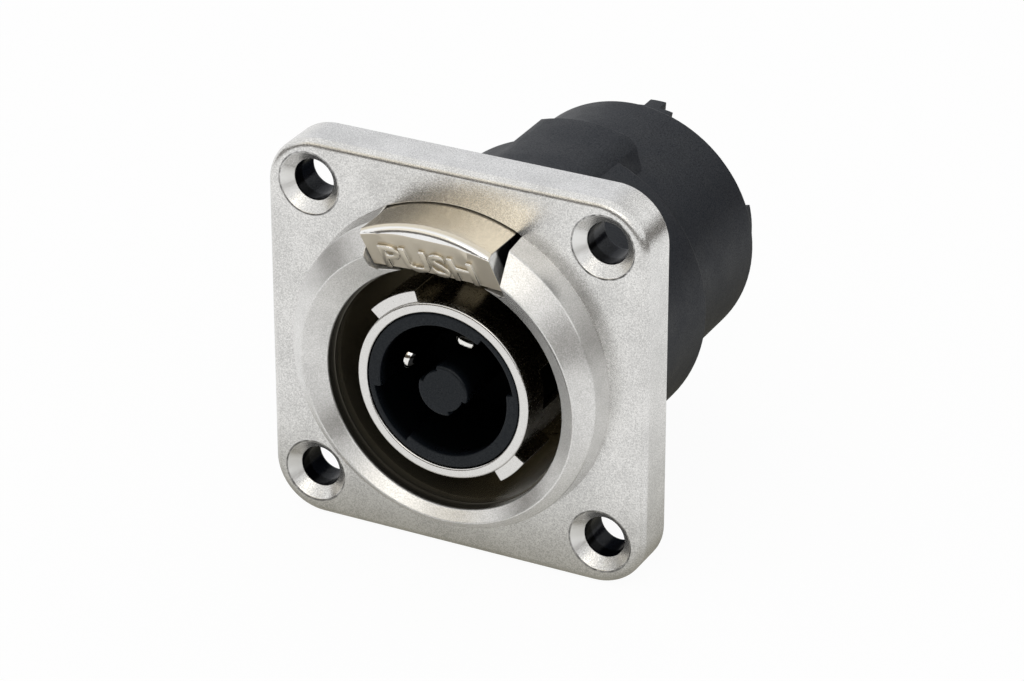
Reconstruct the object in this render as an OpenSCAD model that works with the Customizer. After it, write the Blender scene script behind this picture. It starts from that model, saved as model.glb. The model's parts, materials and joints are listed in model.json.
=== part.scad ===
// Panel-mount loudspeaker receptacle with a push-release latch.
// Millimetres. +X right, +Y to the rear (into the panel), +Z up.
// The origin is the centre of the screw pattern on the rear face of the flange.
// The modules draw in a face frame (x right, y up, z forward out of the panel),
// and facing() turns each finished piece into the part's frame.

/* [Flange] */
// Side of the square flange
flange_w = 38; // [37:0.5:42]
// Thickness of the flange
flange_t = 4.45; // [4.2:0.05:5.5]
// Radius of the flange corners
corner_r = 5; // [3:0.25:6]
// Rounding of the front edge of the flange
edge_r = 0.8; // [0.3:0.05:1.2]
// Distance of the screw holes from the flange's edges
hole_inset = 4.35; // [4.1:0.05:4.6]
// Screw hole diameter
hole_d = 3.9; // [3:0.1:4.2]
// Countersink diameter at the face
sink_d = 6; // [5:0.1:7]
// Thickness of the metal cap's rim
rim_t = 1.1; // [0.9:0.05:1.4]

/* [Collar and bore] */
// Diameter of the collar where it meets the flange
collar_d = 31.2; // [30.6:0.1:31.8]
// Height of the collar's outer wall
collar_h = 2.5; // [2:0.1:3]
// How far the collar's wall leans in over its height
collar_lean = 0.32; // [0.1:0.02:0.5]
// Rise of the collar's outer slope for each millimetre inwards
crown_rise = 0.76; // [0.6:0.02:0.9]
// Rise of the mouth's slope for each millimetre outwards
mouth_rise = 0.81; // [0.65:0.02:0.95]
// Height of the mouth's inner edge above the flange face
mouth_h = 2.2; // [1.8:0.1:2.6]
// Diameter of the wide land just inside the mouth
land_d = 23.66; // [23.5:0.02:24]
// Depth of that land
land_h = 0.95; // [0.5:0.05:1.5]
// Diameter of the bore that takes the plug
bore_d = 23.2; // [22.8:0.1:23.4]
// How far the bore's axis lies below the centre of the flange
axis_drop = 1.8; // [1.5:0.1:2]
// Wall of the stub tube behind the flange
stub_wall = 1.35; // [1.2:0.05:1.45]
// Length of the stub tube behind the flange
stub_l = 9.2; // [8:0.2:11]
// How far the snap lugs stand out of the stub tube
snap_h = 0.5; // [0.3:0.05:0.6]
// Length of the snap lugs along the tube
snap_l = 2; // [1.5:0.1:2.5]
// Half the angle that a snap lug spans
snap_half_a = 9; // [6:1:12]

/* [Sleeve] */
// Outer diameter of the plug sleeve
sleeve_d = 17.28; // [17.1:0.02:17.5]
// Wall of the plug sleeve
sleeve_wall = 0.96; // [0.8:0.02:1.1]
// Height of the sleeve's front end above the flange face
sleeve_h = 2.4; // [1.8:0.1:2.8]
// Chamfer on the sleeve's front edges
sleeve_bevel = 0.12; // [0.05:0.01:0.2]
// Thickness of the ring at the sleeve's foot
foot_t = 1.2; // [1:0.1:1.5]
// Radial height of the two lugs
lug_h = 1.11; // [0.8:0.05:1.2]
// Length of the lugs along the sleeve
lug_l = 5.3; // [4:0.1:7]
// Distance of the lugs behind the sleeve's front end
lug_back = 0.3; // [0.1:0.05:0.6]
// Start angle of the wide lug
wide_lug_a = 107; // [104:1:110]
// Angle that the wide lug spans
wide_lug_span = 32; // [26:1:36]
// Start angle of the narrow lug
narrow_lug_a = 306; // [303:1:309]
// Angle that the narrow lug spans
narrow_lug_span = 20; // [16:1:24]
// Middle angle of the right window in the sleeve
window_a = 5; // [2:1:8]
// Angle that a window spans
window_span = 25; // [20:1:30]
// Length of a window along the sleeve
window_l = 5.2; // [4:0.1:6]
// Distance of a window behind the sleeve's front end
window_back = 3.15; // [2.5:0.05:4]

/* [Insert] */
// Distance of the insert's face behind the sleeve's front end
insert_back = 0.1; // [0.05:0.05:0.4]
// Diameter of the well in the insert
well_d = 12.7; // [12.5:0.1:12.9]
// Depth of the well
well_h = 10.75; // [9:0.25:12]
// Diameter of the well across its keyways
key_d = 14; // [13.6:0.1:14.2]
// Middle angle of the first keyway
key_a = 33; // [30:1:36]
// Angle that a keyway spans
key_span = 47; // [40:1:50]
// Diameter of the centre pin
pin_d = 5; // [4.6:0.1:5.4]
// Diameter of the centre pin at its notches
pin_notch_d = 4.2; // [3.8:0.1:4.4]
// Middle angle of the first notch of the pin
pin_notch_a = 134; // [130:1:138]
// Angle that a notch spans
pin_notch_span = 54; // [46:1:60]
// Rounding of the pin's front edge
pin_round = 0.3; // [0.1:0.05:0.5]
// Diameter of the insert's flange
insert_flange_d = 20.4; // [19.8:0.1:20.6]
// Thickness of the insert's flange
insert_flange_t = 2; // [1.8:0.1:2.4]
// Diameter of the boss behind the insert's flange
boss_d = 16.1; // [15.8:0.1:16.4]
// Length of that boss
boss_l = 2.6; // [2:0.1:3.2]

/* [Contacts] */
// Angle of the first contact
contact_a = 73; // [70:1:76]
// Distance of the contacts' outer leg from the axis
contact_r = 5.5; // [5.4:0.05:6]
// Width of the spring blade
blade_w = 1.7; // [1.4:0.1:2]
// Thickness of the spring blade at its middle
blade_t = 0.4; // [0.3:0.02:0.5]
// Radius of the blade's crowned outer side
blade_crown_r = 1.3; // [1.1:0.05:1.8]
// Mean radius of the bend at the blade's tip
bend_r = 0.8; // [0.6:0.05:1]
// Distance of the bend behind the sleeve's front end
bend_back = 1.5; // [0.8:0.1:2]
// Length of the inner leg behind the bend
inner_leg_l = 5; // [3:0.2:6]
// Lean of the inner leg, in degrees
inner_leg_lean = 6; // [2:1:10]
// Width of the strip inside the insert
strip_w = 3; // [2.6:0.1:3.4]
// Thickness of the strip inside the insert
strip_t = 0.6; // [0.5:0.05:0.7]
// Width of the flat tab
tab_w = 4.8; // [4:0.1:5.2]
// Thickness of the flat tab
tab_t = 0.8; // [0.7:0.05:0.9]
// Reach of the flat tabs behind the rear rim
tab_reach = 6.4; // [5:0.2:8]
// Chamfer at the tip of the tab
tab_bevel = 1; // [0.5:0.1:1.4]
// Diameter of the hole in the tab
tab_hole_d = 1.6; // [1.2:0.1:2]
// Distance of that hole from the tip
tab_hole_in = 3.2; // [2.6:0.1:4]

/* [Housing] */
// Diameter of the front section of the housing
front_d = 29.2; // [28.8:0.1:29.6]
// Length of the front section
front_l = 18.3; // [17:0.1:19]
// Diameter of the rear section
rear_d = 25.5; // [25:0.1:26]
// Overall length of the housing behind the flange
housing_l = 33; // [31:0.25:36]
// Rounding of the housing's edges
housing_round = 0.5; // [0.2:0.05:0.8]
// Distance from the axis to the top of the latch hump
hump_r = 15.1; // [15:0.05:15.4]
// Width of the latch hump below its sloping corners
hump_w = 10.7; // [10.4:0.1:11.6]
// Width and height of those sloping corners
hump_bevel = 1.5; // [1:0.1:2]
// Widening of each side of the hump, per millimetre down
hump_flare = 0.25; // [0.1:0.05:0.5]
// Length of the latch hump behind the flange
hump_l = 22; // [21:0.25:24]
// Thickness of the wall that closes the hump at its rear
hump_end_t = 1.6; // [1.2:0.1:2]
// Thickness of the web behind the insert's flange
web_t = 1.6; // [1.2:0.1:2.2]
// Diameter of the space in front of the terminal plate
room_d = 20.4; // [19.8:0.1:20.8]
// Diameter of the terminal plate
plate_d = 21.8; // [21.4:0.1:22.2]
// Thickness of the terminal plate
plate_t = 2.2; // [1.8:0.1:2.6]
// Depth of the terminal plate's seat from the rear rim
seat_depth = 4.5; // [3.5:0.1:6]
// Reach of the narrow guard fins behind the rear rim
fin_reach = 5.2; // [4.6:0.1:6.5]
// Half the angle that a narrow fin spans
fin_half_a = 4.5; // [3:0.5:6]
// Reach of the broad foot of a narrow fin behind the rear rim
foot_reach = 3.7; // [2.5:0.1:4.4]
// Half the angle that this foot spans
foot_half_a = 12; // [10:1:18]
// Reach of the wide guards behind the rear rim
guard_reach = 3.7; // [2.5:0.1:4.5]
// Half the angle that a wide guard spans
guard_half_a = 14; // [10:1:18]
// Wall of the guards and feet
guard_wall = 1.1; // [0.9:0.05:1.4]

/* [Latch] */
// Width of the push button
button_w = 12.85; // [12.4:0.05:13]
// How far the button sits left of the middle, in the play of its slot
button_off = 0.17; // [0:0.01:0.2]
// Reach of the button's lip ahead of the flange face
button_reach = 5.4; // [4.8:0.1:6]
// Height of the lip at the middle of the button
lip_h = 1.1; // [0.9:0.05:1.4]
// Rounding of the lip's upper edge
lip_r = 0.75; // [0.4:0.05:0.85]
// Set-back of the button's face for each millimetre down
face_slope = 0.66; // [0.55:0.02:0.75]
// Radius of the face's sideways curve, at its lower edge
face_curve_r = 29.75; // [25:0.25:40]
// Travel of the button
travel = 1.8; // [1.4:0.05:2]
// Thickness of the housing's base left behind the button
pocket_floor = 0.6; // [0.5:0.05:0.9]
// Thickness of the latch tongue
tongue_t = 1.3; // [1.1:0.05:1.35]
// Width of the latch tongue
tongue_w = 9.8; // [9.2:0.1:10]
// Reach of the latch tongue behind the sleeve's foot
tongue_past = 0.2; // [0.1:0.05:0.4]
// How far the button's slot dips below the top of the bore
slot_dip = 0.5; // [0.3:0.05:0.7]
// Rounding of the slot's lower corners
slot_corner_r = 0.6; // [0.3:0.05:0.65]
// Width of the neck between button and tongue
neck_w = 8; // [7:0.1:8.4]
// Width of the locking bolt under the tongue
bolt_w = 3.6; // [3:0.1:4.4]
// Length of the locking bolt
bolt_l = 2.8; // [2:0.1:3.6]
// How far the locking bolt reaches into the bore
bolt_h = 1.3; // [0.8:0.05:1.5]
// Distance between the two springs
spring_gap = 4.8; // [4.2:0.1:5.4]
// Outer diameter of a spring
spring_d = 1.7; // [1.5:0.05:1.75]
// Wire diameter of a spring
wire_d = 0.28; // [0.2:0.02:0.32]
// Turns of a spring, with one closed turn at each end
spring_turns = 9; // [6:1:12]
// Pitch of a spring's closed end turns, in wire diameters
closed_turn = 1.05; // [1.02:0.01:1.2]
// Diameter of the pegs that centre the springs
peg_d = 0.9; // [0.7:0.05:0.95]
// Length of those pegs
peg_l = 1.6; // [1:0.1:2.2]

/* [Seal] */
// Diameter of the seal ring's section
seal_d = 0.8; // [0.6:0.05:0.9]

/* [Clearances] */
// Gap of pieces that seat in each other
seat_gap = 0.05; // [0.02:0.01:0.1]
// Play at both ends of the snap barbs and at the tabs' shoulders
end_play = 0.2; // [0.1:0.05:0.3]
// Angle that a snap barb is narrower than its window
barb_free_a = 3; // [2:0.5:5]
// Gap round the snap lugs in their pockets
snap_gap = 0.1; // [0.05:0.01:0.2]
// Angle of clearance at each side of a snap lug
snap_free_a = 1; // [0.5:0.25:2]
// Gap at each side of the button when it sits in the middle
side_gap = 0.32; // [0.28:0.02:0.5]
// Gap above the button
top_gap = 0.08; // [0.06:0.01:0.2]
// Gap below the button
under_gap = 0.35; // [0.25:0.05:0.6]
// Gap at the button's rear after its full travel
end_gap = 0.45; // [0.3:0.05:0.6]
// Gap above, below and beside the latch tongue
slide_gap = 0.35; // [0.3:0.05:0.45]
// Height of the latch tongue's underside above the bore
tongue_lift = 0.45; // [0.4:0.05:0.55]
// Gap between the latch tongue and its front stop
stop_gap = 0.08; // [0.05:0.01:0.2]

/* [Hidden] */
// Every piece of the receptacle
// The piece to draw, or all of them
// Facets of round shapes in the preview
$fn = 96; // [48:8:128]
// Small overlap that lets a cut run past a face
past = 1; // [0.5:0.5:2]
// Distance between the screw holes, both ways
hole_pitch = flange_w - 2 * hole_inset; // [28:0.1:33]
// Thickness of the metal cap's front wall, as deep as the countersinks
cap_t = (sink_d - hole_d) / 2; // [0.4:0.05:2]
// Height of the inner face of the metal cap
cap_z = flange_t - cap_t; // [2.2:0.05:5]
// Radius of the collar at the flange
collar_r = collar_d / 2; // [15:0.05:16]
// Radius of the bore
bore_r = bore_d / 2; // [11:0.05:12]
// Outer radius of the stub tube
stub_r = bore_r + stub_wall; // [12:0.05:13.3]
// Height of the mouth's inner edge
mouth_z = flange_t + mouth_h; // [6:0.05:8]
// Height of the sleeve's front end
sleeve_z = flange_t + sleeve_h; // [6:0.05:8]
// Outer radius of the sleeve
sleeve_r = sleeve_d / 2; // [8:0.02:9]
// Inner radius of the sleeve
sleeve_in_r = sleeve_r - sleeve_wall; // [7:0.02:8.5]
// Inner radius of the housing round the stub tube
socket_r = stub_r + seat_gap; // [12:0.05:13.4]
// Depth of the sleeve's foot behind the flange
foot_z = stub_l + foot_t; // [9:0.1:13]
// Height of the insert's face
insert_z = sleeve_z - insert_back; // [6:0.05:8]
// Outer radius of the insert
insert_r = sleeve_in_r - seat_gap; // [7:0.02:8.5]
// Height of the floor of the insert's well
floor_z = insert_z - well_h; // [-6:0.1:-2]
// Depth of the rear face of the insert's flange
web_z = foot_z + insert_flange_t; // [11:0.1:15]
// Depth of the end of the insert's boss
boss_z = web_z + boss_l; // [13:0.1:18]
// Depth of the terminal plate's seat
seat_z = housing_l - seat_depth; // [25:0.1:32]
// Inner radius of the latch tongue
tongue_r = bore_r + tongue_lift; // [11.5:0.05:12.5]
// Outer radius of the latch tongue
tongue_out_r = tongue_r + tongue_t; // [12.5:0.05:14]
// Outer radius of the latch channel
channel_r = tongue_out_r + slide_gap; // [13:0.05:14.4]
// Inner radius of the latch channel behind the sleeve's foot
channel_in_r = tongue_r - slide_gap; // [11:0.05:12.4]
// Height of the channel's floor above the axis, under the corners of the latch tongue
channel_y = sqrt(tongue_r * tongue_r - tongue_w * tongue_w / 4) - slide_gap; // [10:0.05:11.5]
// Half width of the channel round the latch tongue
channel_half_w = tongue_w / 2 + slide_gap; // [4.5:0.05:5.6]
// Depth of the latch tongue's rear end
tongue_z = foot_z + tongue_past; // [9:0.1:13]
// Depth of the front wall of the spring channel
hump_end_z = hump_l - hump_end_t; // [19:0.1:23]
// Half width of the channel round the springs
spring_half_w = spring_gap / 2 + spring_d / 2 + slide_gap; // [3:0.05:4.4]
// Distance of the springs from the axis
spring_r = tongue_r + tongue_t / 2; // [12:0.05:13.5]
// Height of the floor under the push button
slot_y = bore_r - axis_drop - slot_dip; // [8.5:0.05:10]
// Half width of the slot round the push button
slot_half_w = button_w / 2 + side_gap; // [6:0.05:7]
// Height of the button's lower edge
button_y = slot_y + under_gap; // [9:0.05:10.5]
// Radius of the button's top
button_r = collar_r - top_gap; // [15:0.05:15.8]
// Height of the button's lip above the flange's rear face
lip_z = flange_t + button_reach; // [9:0.05:12]
// Height of the button's rear face
button_z = pocket_floor + travel + end_gap; // [2:0.05:4]
// Height of the middle of a blade's bend
bend_z = sleeve_z - bend_back - bend_r - blade_t / 2; // [3:0.05:6]
// Height of the top edge of the sleeve's windows
window_z = sleeve_z - window_back; // [2:0.05:5]
// Depth of the front and the rear end of the snap lugs
snap_z = [(stub_l - snap_l) / 2, (stub_l + snap_l) / 2];
// Radius of the seal ring's middle
seal_r = (boss_d + insert_flange_d) / 4; // [8.8:0.05:9.4]

// Turns a piece from the face frame into the part's frame.
module facing() {
  rotate([90, 0, 0]) children();
}

// Moves a piece from the flange centre to the bore's axis.
module on_axis() {
  translate([0, -axis_drop, 0]) children();
}

// Piece of a ring from angle a0, spanning degrees, between two heights.
module ring_sector(r0, r1, a0, span, z0, z1) {
  rotate([0, 0, a0])
    rotate_extrude(angle = span)
      translate([r0, z0]) square([r1 - r0, z1 - z0]);
}

// Outline of a disc's half section with its front edge rounded.
module rounded_half(r, h, e) {
  square([r, h - e]);
  square([r - e, h]);
  translate([r - e, h - e]) circle(e);
}

// Outline of a square with round corners.
module rounded_square(w, r) {
  inset = w / 2 - r;
  square([w, 2 * inset], center = true);
  square([2 * inset, w], center = true);
  for (x = [-inset, inset], y = [-inset, inset])
    translate([x, y]) circle(r);
}

// Square plate with round corners and a rounded front edge.
module rounded_plate(w, r, t, e) {
  inset = w / 2 - r;
  for (x = [-inset, inset], y = [-inset, inset])
    translate([x, y, 0]) rotate_extrude() rounded_half(r, t, e);
  for (turn = [0, 90])
    rotate([0, 0, turn])
      rotate([90, 0, 90])
        linear_extrude(2 * inset, center = true) {
          rounded_half(w / 2, t, e);
          mirror([1, 0]) rounded_half(w / 2, t, e);
        }
}

// Collar with its sloping crown, before the bore is cut.
module collar_blank() {
  top_r = collar_r - collar_lean;
  top_z = flange_t + collar_h;
  inner_r = bore_r - axis_drop - past;
  rotate_extrude()
    polygon([
      [0, flange_t / 2],
      [collar_r, flange_t / 2],
      [collar_r, flange_t],
      [top_r, top_z],
      [inner_r, top_z + (top_r - inner_r) * crown_rise],
      [0, top_z + (top_r - inner_r) * crown_rise],
    ]);
}

// Bore with its land and sloping mouth, to be cut from the collar.
module bore_cut() {
  land_r = land_d / 2;
  reach = collar_r + 2 * axis_drop - land_r;
  top_z = mouth_z + reach * mouth_rise;
  on_axis()
    rotate_extrude()
      polygon([
        [0, -stub_l - past],
        [bore_r, -stub_l - past],
        [bore_r, mouth_z - land_h],
        [land_r, mouth_z - land_h],
        [land_r, mouth_z],
        [land_r + reach, top_z],
        [land_r + reach, top_z + 4 * past],
        [0, top_z + 4 * past],
      ]);
}

// Room for the push button in the collar and the flange.
module button_slot() {
  inner = slot_half_w - slot_corner_r;
  translate([0, 0, pocket_floor])
    linear_extrude(lip_z + past - pocket_floor)
      intersection() {
        circle(collar_r);
        union() {
          translate([-slot_half_w, slot_y + slot_corner_r]) square([2 * slot_half_w, collar_r]);
          translate([-inner, slot_y]) square([2 * inner, collar_r]);
          for (x = [-inner, inner])
            translate([x, slot_y + slot_corner_r]) circle(slot_corner_r);
        }
      }
}

// Upright opening of a given half width, from a floor above the axis out to the latch channel.
module channel(half_w, low, z0, z1) {
  translate([0, 0, z0])
    linear_extrude(z1 - z0)
      intersection() {
        circle(channel_r);
        translate([-half_w, low]) square([2 * half_w, channel_r]);
      }
}

// Room for the latch's neck in the wall behind the button.
module neck_slot() {
  on_axis() channel(neck_w / 2 + slide_gap, slot_y + axis_drop, -past, pocket_floor + past);
}

// The four screw holes with their countersinks.
module screw_holes() {
  half = hole_pitch / 2;
  for (x = [-half, half], y = [-half, half])
    translate([x, y, 0]) {
      translate([0, 0, -past]) cylinder(flange_t + 2 * past, d = hole_d);
      translate([0, 0, cap_z]) cylinder(cap_t, d1 = hole_d, d2 = sink_d);
    }
}

// Die-cast cap of the flange with its collar, bore and stub tube.
module flange_shell() {
  color([0.80, 0.79, 0.76])
    facing()
      difference() {
        union() {
          difference() {
            union() {
              rounded_plate(flange_w, corner_r, flange_t, edge_r);
              collar_blank();
            }
            translate([0, 0, -past])
              linear_extrude(past + cap_z)
                rounded_square(flange_w - 2 * rim_t, corner_r - rim_t);
          }
          on_axis() {
            translate([0, 0, -stub_l]) cylinder(stub_l + cap_z + cap_t / 2, r = stub_r);
            for (a = [0, 180])
              ring_sector(stub_r - past, stub_r + snap_h, a - snap_half_a, 2 * snap_half_a,
                -snap_z[1], -snap_z[0]);
          }
        }
        bore_cut();
        button_slot();
        neck_slot();
        on_axis() channel(channel_half_w, channel_y, -stub_l - past, 0);
        screw_holes();
      }
}

// Sleeve that the plug slides over, with its lugs, windows and foot ring.
module plug_sleeve() {
  lug_top = sleeve_z - lug_back;
  lug_r = sleeve_r + lug_h;
  mid_r = sleeve_r - sleeve_wall / 2;
  foot_r = stub_r - seat_gap;
  color([0.86, 0.86, 0.84])
    facing()
      on_axis()
        difference() {
          union() {
            rotate_extrude()
              polygon([
                [sleeve_in_r, -foot_z],
                [foot_r, -foot_z],
                [foot_r, -stub_l],
                [sleeve_r, -stub_l],
                [sleeve_r, sleeve_z - sleeve_bevel],
                [sleeve_r - sleeve_bevel, sleeve_z],
                [sleeve_in_r + sleeve_bevel, sleeve_z],
                [sleeve_in_r, sleeve_z - sleeve_bevel],
              ]);
            ring_sector(mid_r, lug_r, wide_lug_a, wide_lug_span, lug_top - lug_l, lug_top);
            ring_sector(mid_r, lug_r, narrow_lug_a, narrow_lug_span, lug_top - lug_l, lug_top);
          }
          for (a = [window_a, window_a + 180])
            ring_sector(sleeve_in_r - past, sleeve_r + past, a - window_span / 2, window_span,
              window_z - window_l, window_z);
          translate([0, 0, -foot_z - past]) {
            difference() {
              channel(channel_half_w, channel_y, 0, foot_t + 2 * past);
              cylinder(foot_t + 2 * past, r = channel_in_r);
            }
          }
        }
}

// Pin in the middle of the insert, with two notches along it.
module centre_pin() {
  difference() {
    translate([0, 0, floor_z - past])
      rotate_extrude() rounded_half(pin_d / 2, sleeve_z - floor_z + past, pin_round);
    for (a = [pin_notch_a, pin_notch_a + 180])
      ring_sector(pin_notch_d / 2, pin_d, a - pin_notch_span / 2, pin_notch_span,
        floor_z, sleeve_z + past);
  }
}

// Moulded insert that carries the contacts.
module contact_insert() {
  barb_span = window_span - barb_free_a;
  barb_r = sleeve_r - sleeve_wall / 2;
  groove_w = seal_d + 2 * seat_gap;
  color([0.20, 0.22, 0.24])
    facing()
      on_axis()
        difference() {
          union() {
            difference() {
              union() {
                translate([0, 0, -foot_z]) cylinder(insert_z + foot_z, r = insert_r);
                translate([0, 0, -web_z]) cylinder(insert_flange_t, d = insert_flange_d);
                translate([0, 0, -boss_z]) cylinder(boss_l, d = boss_d);
                for (a = [window_a, window_a + 180])
                  ring_sector(insert_r - sleeve_wall / 2, barb_r, a - barb_span / 2, barb_span,
                    window_z - window_l + end_play, window_z - end_play);
              }
              translate([0, 0, floor_z]) cylinder(well_h + past, d = well_d);
              for (a = [key_a, key_a + 180])
                ring_sector(well_d / 2 - past, key_d / 2, a - key_span / 2, key_span,
                  floor_z, insert_z + past);
              translate([0, 0, -web_z])
                rotate_extrude()
                  translate([seal_r - groove_w / 2, -past])
                    square([groove_w, seal_d + seat_gap + past]);
            }
            centre_pin();
          }
          for (i = [0, 1])
            rotate([0, 0, contact_a + 90 * i])
              translate([contact_r - strip_t / 2 - seat_gap, -strip_w / 2 - seat_gap, -boss_z - past])
                cube([strip_t + 2 * seat_gap, strip_w + 2 * seat_gap, boss_z + floor_z + 2 * past]);
        }
}

// Rubber ring between the insert and the housing.
module insert_seal() {
  color([0.10, 0.10, 0.10])
    facing()
      on_axis()
        translate([0, 0, -web_z + seal_d / 2 + seat_gap / 2])
          rotate_extrude() translate([seal_r, 0]) circle(d = seal_d);
}

// Section of the spring blade, flat inside and crowned outside.
module blade_section() {
  intersection() {
    square([blade_t, blade_w], center = true);
    translate([blade_t / 2 - blade_crown_r, 0]) circle(blade_crown_r);
  }
}

// Spring blade of a contact: outer leg, bend at the tip and leaning inner leg.
module blade() {
  translate([contact_r, 0, floor_z - past])
    linear_extrude(bend_z - floor_z + past) blade_section();
  translate([contact_r - bend_r, 0, bend_z]) {
    rotate([90, 0, 0])
      rotate_extrude(angle = 180 + inner_leg_lean)
        translate([bend_r, 0]) blade_section();
    rotate([0, -inner_leg_lean, 0])
      translate([-bend_r, 0, -inner_leg_l])
        linear_extrude(inner_leg_l) mirror([1, 0]) blade_section();
  }
}

// Flat tab seen from its broad side, with its chamfered tip at the bottom.
module tab_outline(length) {
  half = tab_w / 2;
  difference() {
    polygon([
      [-half, 0],
      [half, 0],
      [half, tab_bevel - length],
      [half - tab_bevel / 2, -length],
      [tab_bevel / 2 - half, -length],
      [-half, tab_bevel - length],
    ]);
    translate([0, tab_hole_in - length]) circle(d = tab_hole_d);
  }
}

// Stamped contact number i: spring blade, strip in the insert and flat tab.
module contact(i) {
  tab_top = boss_z + end_play;
  color([0.83, 0.82, 0.78])
    facing()
      on_axis()
        rotate([0, 0, contact_a + 90 * (i - 1)]) {
          blade();
          translate([contact_r - strip_t / 2, -strip_w / 2, -tab_top - past])
            cube([strip_t, strip_w, tab_top + past + floor_z - seat_gap]);
          translate([contact_r - tab_t / 2, 0, -tab_top])
            rotate([90, 0, 90])
              linear_extrude(tab_t) tab_outline(housing_l + tab_reach - tab_top);
        }
}

// Square base of the housing, which fills the metal cap of the flange.
module base_plate() {
  linear_extrude(cap_z)
    rounded_square(flange_w - 2 * (rim_t + seat_gap), corner_r - rim_t - seat_gap);
}

// Outer form of the housing behind its base: two diameters and the latch hump.
module housing_form() {
  half = hump_w / 2;
  side_y = hump_r - hump_bevel;
  translate([0, 0, cap_z / 2])
    mirror([0, 0, 1])
      rotate_extrude() {
        rounded_half(front_d / 2, front_l + cap_z / 2, housing_round);
        rounded_half(rear_d / 2, housing_l + cap_z / 2, housing_round);
      }
  translate([0, 0, -hump_l])
    linear_extrude(hump_l + cap_z / 2)
      intersection() {
        circle(hump_r);
        polygon([
          [hump_bevel - half, hump_r],
          [half - hump_bevel, hump_r],
          [half, side_y],
          [half + hump_flare * side_y, 0],
          [-half - hump_flare * side_y, 0],
          [-half, side_y],
        ]);
      }
}

// Spaces inside the housing, along its axis.
module housing_rooms() {
  wide_end_z = tongue_z + travel + slide_gap;
  translate([0, 0, -foot_z]) cylinder(foot_z + flange_t, r = socket_r);
  translate([0, 0, -web_z])
    cylinder(insert_flange_t + past, d = insert_flange_d + 2 * seat_gap);
  translate([0, 0, -web_z - web_t - past])
    cylinder(web_t + 2 * past, d = boss_d + 2 * seat_gap);
  translate([0, 0, -seat_z - past]) cylinder(seat_z + past - web_z - web_t, d = room_d);
  translate([0, 0, -housing_l - past]) cylinder(seat_depth + past, d = plate_d + 2 * seat_gap);
  for (a = [0, 180])
    ring_sector(stub_r - past, stub_r + snap_h + snap_gap,
      a - snap_half_a - snap_free_a, 2 * (snap_half_a + snap_free_a),
      -snap_z[1] - snap_gap, -snap_z[0] + snap_gap);
  difference() {
    union() {
      channel(channel_half_w, channel_y, -wide_end_z, 0);
      channel(spring_half_w, channel_y, -hump_end_z, 0);
    }
    translate([0, 0, -hump_l]) cylinder(hump_l - foot_z, r = channel_in_r);
  }
}

// Moulded housing: base plate in the cap, and the body behind it.
module rear_housing() {
  color([0.17, 0.18, 0.19])
    facing()
      difference() {
        union() {
          base_plate();
          on_axis() housing_form();
        }
        on_axis() housing_rooms();
        button_slot();
        neck_slot();
        screw_holes();
      }
}

// Everything behind depth z between two angles, to be cut away round the guards.
module wedge_behind(a0, a1, z) {
  far = plate_d;
  mid = (a0 + a1) / 2;
  translate([0, 0, -housing_l - far])
    linear_extrude(housing_l + far - z)
      polygon([
        [0, 0],
        [far * cos(a0), far * sin(a0)],
        [far * cos(mid), far * sin(mid)],
        [far * cos(a1), far * sin(a1)],
      ]);
}

// Plate at the rear of the housing, with guard fins round the tabs.
module terminal_plate() {
  r = plate_d / 2;
  back_z = seat_z + plate_t;
  color([0.19, 0.20, 0.21])
    facing()
      on_axis()
        difference() {
          rotate_extrude()
            polygon([
              [0, -seat_z],
              [r, -seat_z],
              [r, -housing_l - fin_reach],
              [r - guard_wall, -housing_l - fin_reach],
              [r - guard_wall, -back_z],
              [0, -back_z],
            ]);
          for (turn = [0, 180])
            rotate([0, 0, turn]) {
              wedge_behind(-guard_half_a, guard_half_a, housing_l + guard_reach);
              for (side = [-1, 1]) {
                wedge_behind(90 + side * fin_half_a, 90 + side * foot_half_a, housing_l + foot_reach);
                wedge_behind(90 + side * foot_half_a, 90 + side * (90 - guard_half_a), back_z);
              }
            }
          for (i = [0, 1])
            rotate([0, 0, contact_a + 90 * i])
              translate([contact_r - tab_t / 2 - seat_gap, -tab_w / 2 - seat_gap, -back_z - past])
                cube([tab_t + 2 * seat_gap, tab_w + 2 * seat_gap, plate_t + 2 * past]);
        }
}

// Push button, the part of the latch that shows.
module button_head() {
  face_y = button_r - lip_h;
  drop = face_curve_r - button_y;
  intersection() {
    translate([0, 0, button_z])
      rotate_extrude() rounded_half(button_r, lip_z - button_z, lip_r);
    translate([-button_w / 2 - button_off, button_y, 0]) cube([button_w, button_r, lip_z + past]);
    translate([0, -drop, 0])
      rotate_extrude()
        polygon([
          [drop, 0],
          [drop + button_r + past, 0],
          [drop + button_r + past, lip_z + (button_r + past - face_y) * face_slope],
          [drop, lip_z - face_y * face_slope],
        ]);
  }
}

// Curved strip of the latch tongue, a given width between two heights.
module tongue(width, z0, z1) {
  translate([0, 0, z0])
    linear_extrude(z1 - z0)
      intersection() {
        difference() {
          circle(tongue_out_r);
          circle(tongue_r);
        }
        translate([-width / 2, 0]) square([width, tongue_out_r]);
      }
}

// Locking bolt under the tongue, with a sloping nose.
module bolt() {
  top = tongue_r + tongue_t / 2;
  low = bore_r - bolt_h;
  front = -stop_gap;
  rotate([90, 0, 90])
    linear_extrude(bolt_w, center = true)
      polygon([
        [top, front],
        [(top + low) / 2, front],
        [low, front - bolt_h / 2],
        [low, front - bolt_l],
        [top, front - bolt_l],
      ]);
}

// Die-cast latch: button, neck, tongue, locking bolt and spring pegs.
module latch_button() {
  color([0.74, 0.70, 0.62])
    facing() {
      button_head();
      on_axis() {
        tongue(neck_w, -stop_gap - past, button_z + past);
        tongue(tongue_w, -tongue_z, -stop_gap);
        bolt();
        for (x = [-spring_gap / 2, spring_gap / 2])
          translate([x, spring_y(x), -tongue_z - peg_l]) cylinder(peg_l + past, d = peg_d);
      }
    }
}

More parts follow.
